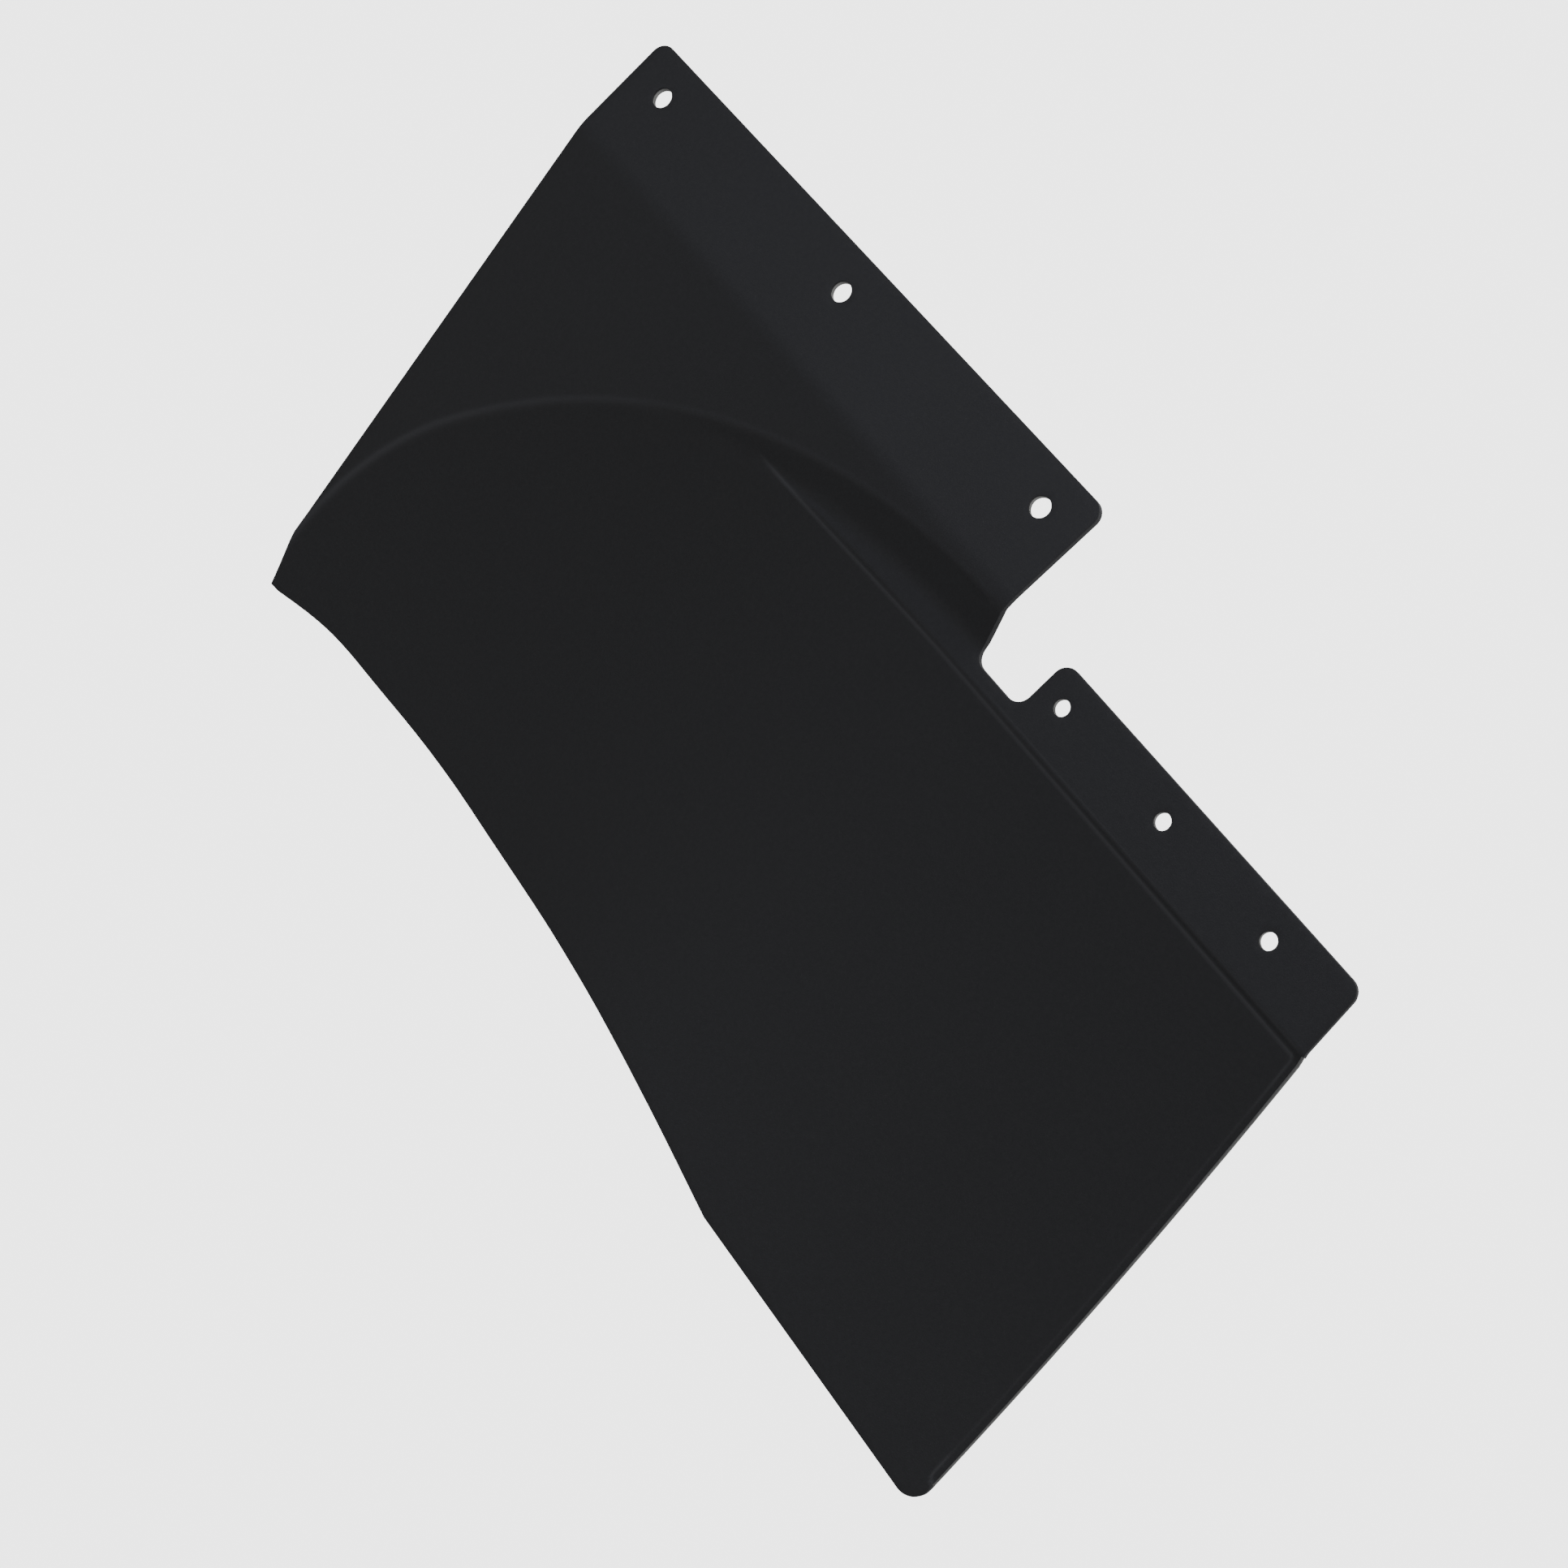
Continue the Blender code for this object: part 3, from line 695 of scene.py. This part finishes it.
def build_moulding(finish):
    outline = spaced(outline_points(), SPACING)
    area = np.sum(outline[:, 0] * np.roll(outline[:, 1], -1) - outline[:, 1] * np.roll(outline[:, 0], -1))
    if area < 0.0:
        outline = outline[::-1]
    lean = LOWER_SLOPE * THICKNESS
    holes = [(hole, UPPER_BORE / 2.0, 0.0) for hole in UPPER_HOLES]
    holes += [(hole, LOWER_BORE / 2.0, -lean) for hole in LOWER_HOLES]
    points = []
    faces = []

    def add(found):
        points.extend(found)
        return list(range(len(points) - len(found), len(points)))

    def bridge(a, b):
        count = len(a)
        faces.extend((a[k], a[(k + 1) % count], b[(k + 1) % count], b[k]) for k in range(count))

    rings = {}
    for front in (True, False):
        loops = [(outline, 1.0, EDGE_ROUND)]
        for c, r, shift in holes:
            loops.append((circle((c[0] + (0.0 if front else shift), c[1]), r), -1.0, HOLE_ROUND))
        last = []
        for k, (loop, away, size) in enumerate(loops):
            ring_ids = []
            for step in range(EDGE_STEPS):
                theta = 0.5 * pi * step / EDGE_STEPS
                ring_ids.append(add(edge_ring(loop, away, size, theta, front)[1]))
            for a, b in zip(ring_ids, ring_ids[1:]):
                bridge(a, b)
            rings[(front, k)] = ring_ids
            last.append(inset(loop, away * size))
        flat, triangles, at = triangulate(last[0], last[1:])
        depth = (sheet_depth if front else back_depth)(flat[:, 0], flat[:, 1])
        ids = add(world(flat[:, 0], flat[:, 1], depth))
        faces.extend(tuple(ids[v] for v in triangle) for triangle in triangles)
        for k, places in enumerate(at):
            bridge(rings[(front, k)][-1], [ids[p] for p in places])
    for k in range(1 + len(holes)):
        bridge(rings[(True, k)][0], rings[(False, k)][0])

    piece = new_piece("mud_flap_sheet", points, faces, finish)
    cutters = [channel_cutter(finish)]
    tilt = -atan(LOWER_SLOPE)
    for (across, up), bore, lean_angle in ([(h, UPPER_BORE, 0.0) for h in UPPER_HOLES]
                                           + [(h, LOWER_BORE, tilt) for h in LOWER_HOLES]):
        radius = bore / 2.0 + SLEEVE_WALL + GAP
        place = hole_frame(across, up, lean_angle, THICKNESS - SLEEVE_LENGTH)
        profile = [(RECESS_CORE, 0.0), (radius, 0.0), (radius, RECESS_DEPTH), (RECESS_CORE, RECESS_DEPTH)]
        ring, ring_faces = turned(profile, TURN_STEPS, place)
        count = len(profile)
        ring_faces = [f for j, f in enumerate(ring_faces) if j % count != 3]
        ring_faces.append(tuple(k * count for k in range(TURN_STEPS)))
        ring_faces.append(tuple(k * count + 3 for k in reversed(range(TURN_STEPS))))
        cutters.append(new_piece("recess_%d" % len(cutters), ring, ring_faces, finish))
    cut(piece, cutters)
    mark_painted_highlights(piece.data)
    piece.data.shade_smooth()
    piece.data.set_sharp_from_angle(angle=radians(40.0))
    return piece


def near_line(distance, half_width):
    return np.exp(-(distance / half_width) ** 2)


def mark_painted_highlights(mesh):
    """A painted highlight attribute: light lines painted on the ridge, along the crease and rebate, and on
    the cut edges, where the rounded edges and walls catch the light.
    """
    co = np.zeros(len(mesh.vertices) * 3)
    mesh.vertices.foreach_get("co", co)
    co = co.reshape(-1, 3)
    across = BOLT_LINE_UPPER - co[:, 0]
    up = co[:, 2] + ORIGIN_UP
    sunk = co[:, 1] + THICKNESS - sheet_depth(across, up)
    front = np.abs(sunk) < FRONT_NEAR
    cut_edge = (sunk > CUT_NEAR) & (sunk < THICKNESS - CUT_NEAR)
    above_rim = up - bottom_up(across) > RIM_WIDTH
    above_notch = ease((up - 0.02) / 0.16)
    towards_free_edge = ease((across - 0.10) / 0.2)
    ridge = near_line(inside_ridge(across, up), RIDGE_HIGHLIGHT_WIDTH) * above_notch
    ridge = ridge * lerp(*RIDGE_HIGHLIGHT, towards_free_edge)
    off_crease = across - crease_across(up)
    below_ridge = ease((0.172 - up) / 0.02)
    crease = CREASE_HIGHLIGHT * near_line(off_crease - 0.0002, CREASE_HIGHLIGHT_WIDTH) * below_ridge
    below_flange = ease((0.03 - up) / 0.10)
    wall_top = WALL_HIGHLIGHT * near_line(off_crease + 0.0036, WALL_HIGHLIGHT_WIDTH) * below_flange
    rim = RIM_HIGHLIGHT * near_line(rim_distance(across, up), RIM_HIGHLIGHT_WIDTH) * (across > CREASE_ACROSS)
    past_corner = ease((across - 0.115) / 0.03)
    near_end = ease((across - 0.355) / 0.015)
    # painted highlight, up to three times as strong at the rebate's rounded far end
    rim = rim * lerp(1.0, 0.45, past_corner) * lerp(1.0, 3.0, near_end)
    highlight_value = np.clip(ridge + (crease + wall_top) * above_rim + rim, 0.0, 1.0)
    # painted highlight on the front lines, and a stronger one on all cut edges
    value = np.where(front, highlight_value, np.where(cut_edge, CUT_HIGHLIGHT, 0.0))
    made = mesh.attributes.new("painted_highlight", "FLOAT", "POINT")
    made.data.foreach_set("value", value.astype(np.float32))


# ---------------------------------------------------------------- bottom edge strip

def strip_section(across, grow, back, below):
    edge = float(bottom_up(across))
    base = float(floor_depth(np.float64(across), np.float64(edge)))
    front = base + STRIP_SKIN + GAP - grow - RIM_RECESS
    rear = base + THICKNESS + back - RIM_RECESS
    return front, rear, edge - below, edge + STRIP_HEIGHT + grow


def strip_stations(start, end):
    """Places along the strip, close together where it crosses the crease."""
    past_crease = CREASE_ACROSS + STRIP_FINE_REACH
    near = list(np.arange(start, past_crease, STRIP_FINE))
    return near + list(np.linspace(past_crease, end, STRIP_STATIONS))


def channel_cutter(finish):
    """The strip's channel, with the front skin cut short so that the strip's face shows."""
    points = []
    stations = strip_stations(STRIP_FROM - GAP, RIM_END + GAP)
    count = len(stations) - 1
    for i, across in enumerate(stations):
        front, rear, low, high = strip_section(across, GAP, CHANNEL_BACK, CHANNEL_BELOW)
        lip = float(bottom_up(across)) + lerp(LIP_RIGHT, LIP_LEFT, i / count)
        ahead = front - CHANNEL_FRONT
        corners = ((ahead, low), (ahead, lip), (front, lip), (front, high), (rear, high), (rear, low))
        points += [world(across, up, depth) for depth, up in corners]
    faces = [tuple(range(6)), tuple(6 * count + k for k in reversed(range(6)))]
    for i in range(count):
        faces += [(6 * i + k, 6 * i + 6 + k, 6 * i + 6 + (k + 1) % 6, 6 * i + (k + 1) % 6) for k in range(6)]
    return new_piece("channel", points, faces, finish)


def build_strip(finish):
    """The strip in its channel, with rounded long edges and rounded ends."""
    end_round = STRIP_END_ROUND
    start = STRIP_FROM - SNUG
    end = RIM_END + SNUG
    stations = [start + end_round * (1.0 - cos(0.5 * pi * k / 6)) for k in range(6)]
    stations += strip_stations(start + end_round, end - end_round)
    stations += [end - end_round * (1.0 - sin(0.5 * pi * k / 6)) for k in range(1, 7)]
    points = []
    for across in stations:
        front, rear, low, high = strip_section(across, SNUG, 0.0, 0.0)
        short = max(start + end_round - across, across - end + end_round, 0.0)
        pull = end_round - max(end_round ** 2 - short ** 2, 0.0) ** 0.5
        pull = min(pull, 0.5 * (rear - front) - 0.0002)
        round_size = min(STRIP_EDGE_ROUND, 0.5 * (rear - front) - pull - 0.00005)
        profile = rounded_box(front + pull, low, rear - pull, high, round_size)
        points += [world(across, up, depth) for depth, up in profile]
    count = len(points) // len(stations)
    faces = [tuple(range(count)), tuple(reversed(range(len(points) - count, len(points))))]
    for i in range(len(stations) - 1):
        for k in range(count):
            a = i * count + k
            b = i * count + (k + 1) % count
            faces.append((a, a + count, b + count, b))
    return new_piece("edge_strip", points, faces, finish, sharp=50.0)


def build_sleeve(name, across, up, bore, tilt, finish):
    inner = bore / 2.0
    profile = rounded_box(inner, GAP, inner + SLEEVE_WALL, SLEEVE_LENGTH, SLEEVE_ROUND)
    ring, faces = turned(profile, TURN_STEPS, hole_frame(across, up, tilt, THICKNESS - SLEEVE_LENGTH))
    return new_piece(name, ring, faces, finish, sharp=50.0)


# ---------------------------------------------------------------- the object

black = moulding_material()
grey = strip_material()
steel = sleeve_material()

sheet = build_moulding(black)
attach(sheet, "root")
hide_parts("flap_moulding")

strip = build_strip(grey)
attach(strip, "root")
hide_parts("bottom_edge_strip")

for i, (across, up) in enumerate(UPPER_HOLES):
    sleeve = build_sleeve("upper_sleeve_%d" % (3 - i), across, up, UPPER_BORE, 0.0, steel)
    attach(sleeve, "root")
    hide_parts("upper_bolt_sleeve_%d" % (3 - i))
for i, (across, up) in enumerate(LOWER_HOLES):
    sleeve = build_sleeve("lower_sleeve_%d" % (i + 1), across, up, LOWER_BORE, -atan(LOWER_SLOPE), steel)
    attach(sleeve, "root")
    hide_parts("lower_bolt_sleeve_%d" % (i + 1))


# ---------------------------------------------------------------- floor, light and camera

FLOOR = -0.80
FLOOR_HALF = 6.0
SEEN_STRENGTH = 3.5             # the white that the camera sees behind the object
AMBIENT_STRENGTH = 0.28         # the grey that lights it
MIDDLE = (-0.15, 0.0, -0.05)    # where the lights point
WHITE = (1.0, 1.0, 1.0)
COOL = (0.77, 0.81, 1.0)

# name, place, size, watts, colour
LIGHTS = [
    ("key_right", (2.1, -0.20, -0.25), 1.2, 46.0, WHITE),
    ("fill_front", (0.25, -2.10, 0.62), 0.8, 12.0, COOL),
    ("fill_left", (-1.9, -1.3, 0.15), 1.8, 3.4, WHITE),
    ("fill_top", (-0.9, -1.7, 1.6), 1.6, 4.0, WHITE),
    ("rim_back", (0.2, 1.9, 0.9), 1.6, 16.0, WHITE),
]

CAMERA_PLACE = (0.0114, -1.1208, -0.6014)
CAMERA_RIGHT = (0.7224, 0.3856, -0.5740)
CAMERA_FORWARD = (-0.1580, 0.9002, 0.4058)
CAMERA_LENS = 57.39


def build_floor():
    made, tree, shader = node_material("studio_floor")
    shader.inputs["Base Color"].default_value = (0.92, 0.92, 0.92, 1.0)
    shader.inputs["Roughness"].default_value = 0.9
    points = [(x * FLOOR_HALF, y * FLOOR_HALF, FLOOR) for x, y in ((-1, -1), (1, -1), (1, 1), (-1, 1))]
    mesh = bpy.data.meshes.new("floor")
    mesh.from_pydata(points, [], [(0, 1, 2, 3)])
    mesh.materials.append(made)
    piece = bpy.data.objects.new("floor", mesh)
    bpy.context.scene.collection.objects.link(piece)


def area_light(name, location, size, power, colour):
    data = bpy.data.lights.new(name, "AREA")
    data.color = colour
    data.shape = "DISK"
    data.size = size
    data.energy = power
    made = bpy.data.objects.new(name, data)
    made.location = location
    made.rotation_mode = "QUATERNION"
    made.rotation_quaternion = (Vector(MIDDLE) - Vector(location)).to_track_quat("-Z", "Y")
    bpy.context.scene.collection.objects.link(made)


def build_world():
    """White behind the object, a softer grey for what lights it."""
    made = bpy.data.worlds.new("studio")
    bpy.context.scene.world = made
    made.use_nodes = True
    tree = made.node_tree
    plain = tree.nodes["Background"]
    plain.inputs["Color"].default_value = (*WHITE, 1.0)
    plain.inputs["Strength"].default_value = AMBIENT_STRENGTH
    seen = add_node(tree, "ShaderNodeBackground", {"Color": (*WHITE, 1.0), "Strength": SEEN_STRENGTH})
    path = tree.nodes.new("ShaderNodeLightPath")
    both = tree.nodes.new("ShaderNodeMixShader")
    tree.links.new(path.outputs["Is Camera Ray"], both.inputs["Fac"])
    tree.links.new(plain.outputs[0], both.inputs[1])
    tree.links.new(seen.outputs[0], both.inputs[2])
    tree.links.new(both.outputs[0], tree.nodes["World Output"].inputs["Surface"])


def build_camera():
    right = Vector(CAMERA_RIGHT).normalized()
    forward = Vector(CAMERA_FORWARD).normalized()
    up = right.cross(forward).normalized()
    right = forward.cross(up)
    data = bpy.data.cameras.new("camera")
    data.lens = CAMERA_LENS
    data.sensor_width = 36.0
    made = bpy.data.objects.new("camera", data)
    made.matrix_world = Matrix((
        (right.x, up.x, -forward.x, CAMERA_PLACE[0]),
        (right.y, up.y, -forward.y, CAMERA_PLACE[1]),
        (right.z, up.z, -forward.z, CAMERA_PLACE[2]),
        (0.0, 0.0, 0.0, 1.0)))
    bpy.context.scene.collection.objects.link(made)
    bpy.context.scene.camera = made


build_floor()
build_world()
build_camera()
for light in LIGHTS:
    area_light(*light)
